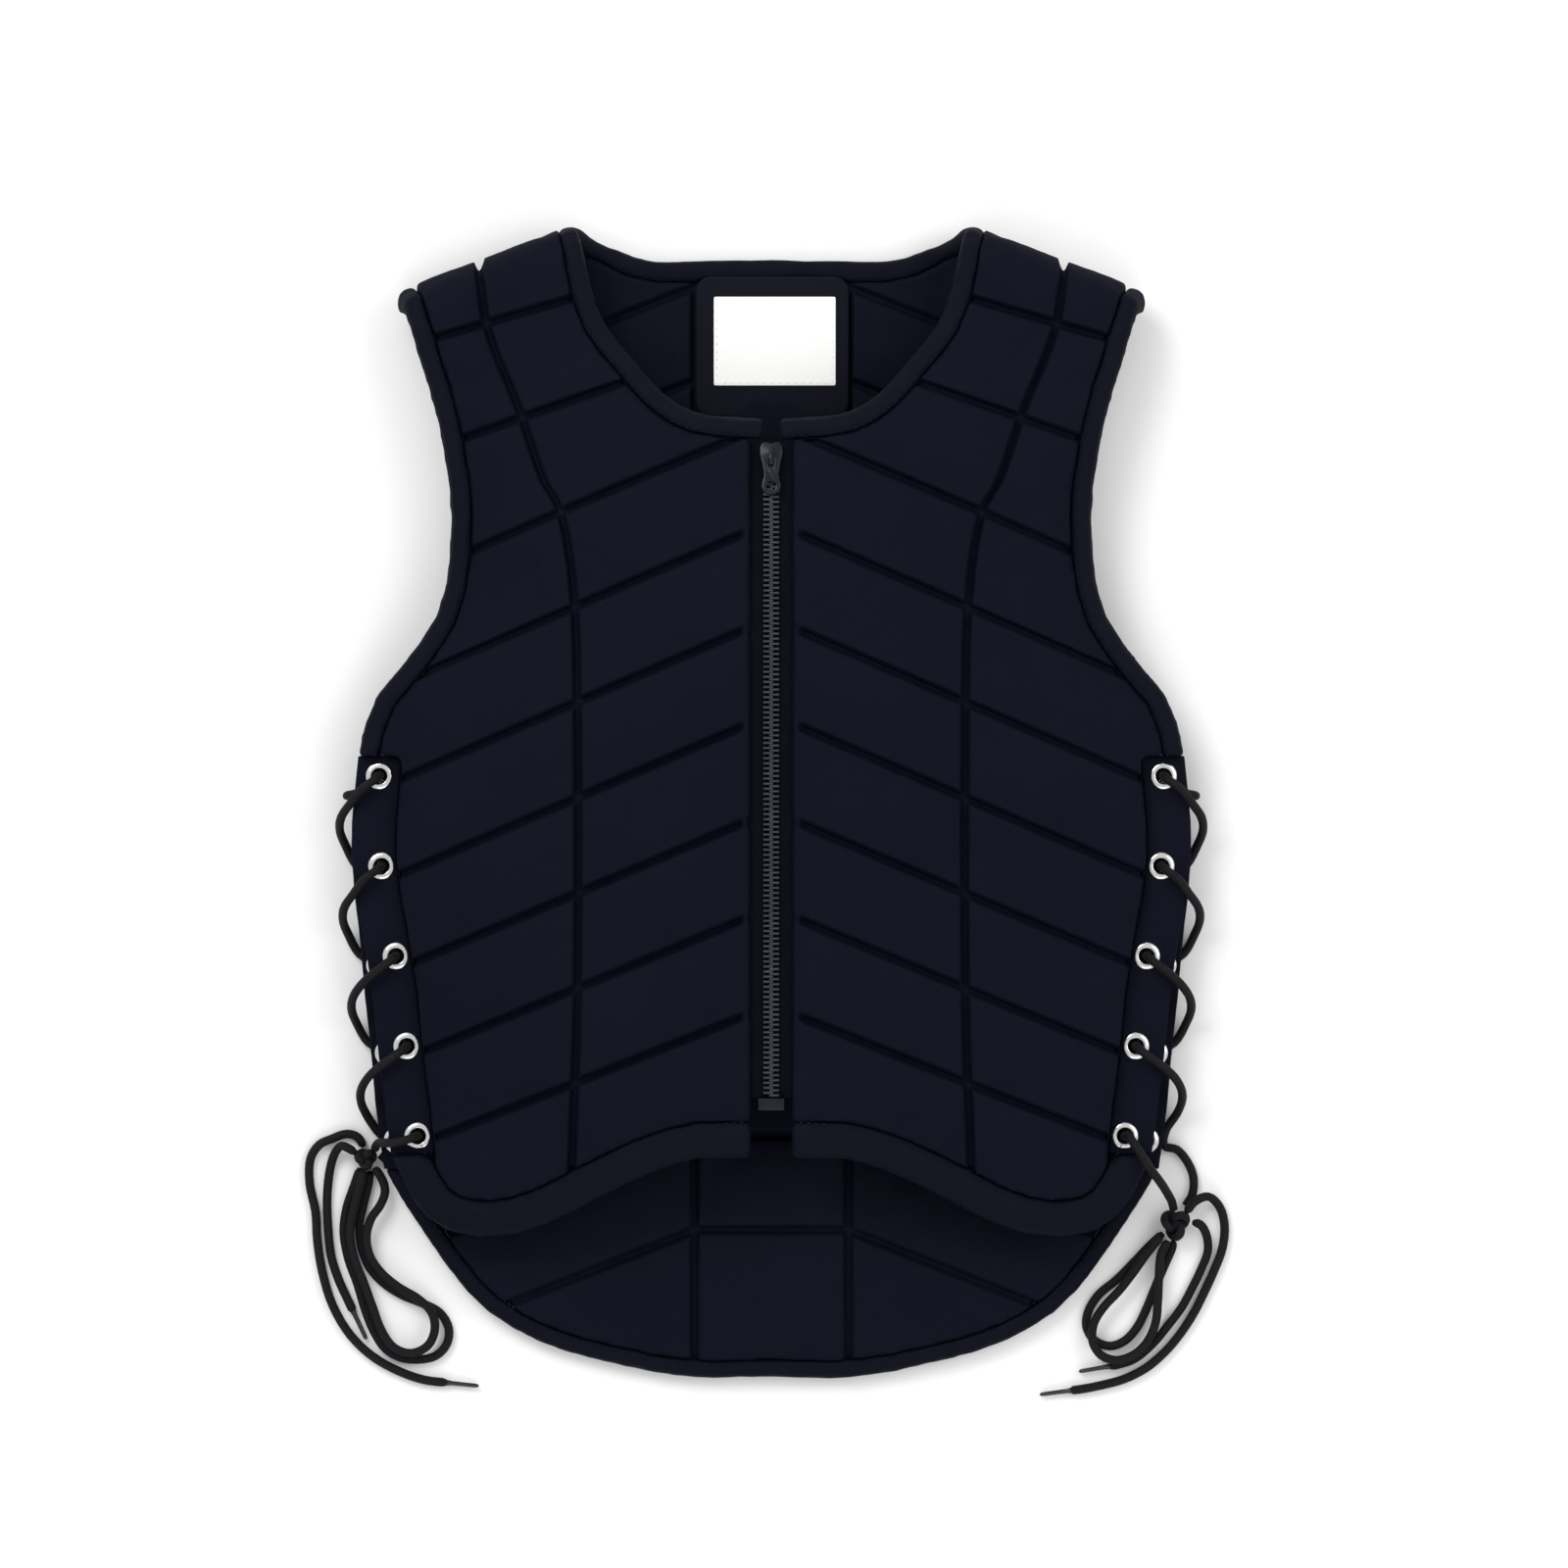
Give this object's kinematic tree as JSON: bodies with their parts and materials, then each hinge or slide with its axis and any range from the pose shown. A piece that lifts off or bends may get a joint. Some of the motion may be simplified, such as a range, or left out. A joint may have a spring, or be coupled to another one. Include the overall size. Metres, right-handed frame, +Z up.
{
  "type": "equestrian body protector",
  "caption": "Sleeveless quilted foam riding vest with a front zip, padded edge bands and sides laced through metal eyelets, lying on its back",
  "frame": {"origin": "centre of the vest's outline on the floor it lies on, under the middle of the chest", "axes": "+Z up out of the vest's front, +Y towards the shoulders, +X towards the wearer's left, which is the right of a picture taken from the front"},
  "size_m": [0.4988, 0.6312, 0.084],
  "materials": {
    "shell": "matte laminated foam cover",
    "band": "matte stretch binding",
    "zip_tape": "woven tape",
    "zip_teeth": "moulded teeth",
    "zip_metal": "satin grey",
    "eyelet": "bright nickel",
    "lace": "braided round lace",
    "lace_tip": "black sleeve",
    "label_patch": "smooth woven lining",
    "label": "plain white satin"
  },
  "bodies": {
    "vest": {"front_panel_l": "shell", "front_panel_r": "shell", "back_panel": "shell", "armhole_band_l": "band", "armhole_band_r": "band", "neck_band": "band", "front_hem_band_l": "band", "front_hem_band_r": "band", "back_hem_band": "band", "front_lacing_strip_l": "shell", "front_lacing_strip_r": "shell", "back_lacing_strip_l": "shell", "back_lacing_strip_r": "shell", "zip_tape_l": "zip_tape", "zip_tape_r": "zip_tape", "zip_chain_l": "zip_teeth", "zip_chain_r": "zip_teeth", "zip_box": "zip_metal", "zip_slider": "zip_metal", "label_patch": "label_patch", "label": "label", "front_eyelet_l1": "eyelet", "front_eyelet_l2": "eyelet", "front_eyelet_l3": "eyelet", "front_eyelet_l4": "eyelet", "front_eyelet_l5": "eyelet", "front_eyelet_r1": "eyelet", "front_eyelet_r2": "eyelet", "front_eyelet_r3": "eyelet", "front_eyelet_r4": "eyelet", "front_eyelet_r5": "eyelet", "back_eyelet_l1": "eyelet", "back_eyelet_l2": "eyelet", "back_eyelet_l3": "eyelet", "back_eyelet_l4": "eyelet", "back_eyelet_l5": "eyelet", "back_eyelet_r1": "eyelet", "back_eyelet_r2": "eyelet", "back_eyelet_r3": "eyelet", "back_eyelet_r4": "eyelet", "back_eyelet_r5": "eyelet", "lace_l": "lace", "knot_l": "lace", "tail1_l": "lace", "tail2_l": "lace", "loop1_l": "lace", "loop2_l": "lace", "tip_tail1_l": "lace_tip", "tip_tail2_l": "lace_tip", "lace_r": "lace", "knot_r": "lace", "tail1_r": "lace", "tail2_r": "lace", "loop1_r": "lace", "loop2_r": "lace", "tip_tail1_r": "lace_tip", "tip_tail2_r": "lace_tip"},
    "pull": {"zip_pull": "zip_metal"}
  },
  "joints": [
    {"name": "pull_hinge", "type": "hinge", "parent": "vest", "child": "pull", "pos_m": [0, 0.18252, 0.07177], "axis": [-1, 0, 0], "range_deg": [0, 160]}
  ]
}
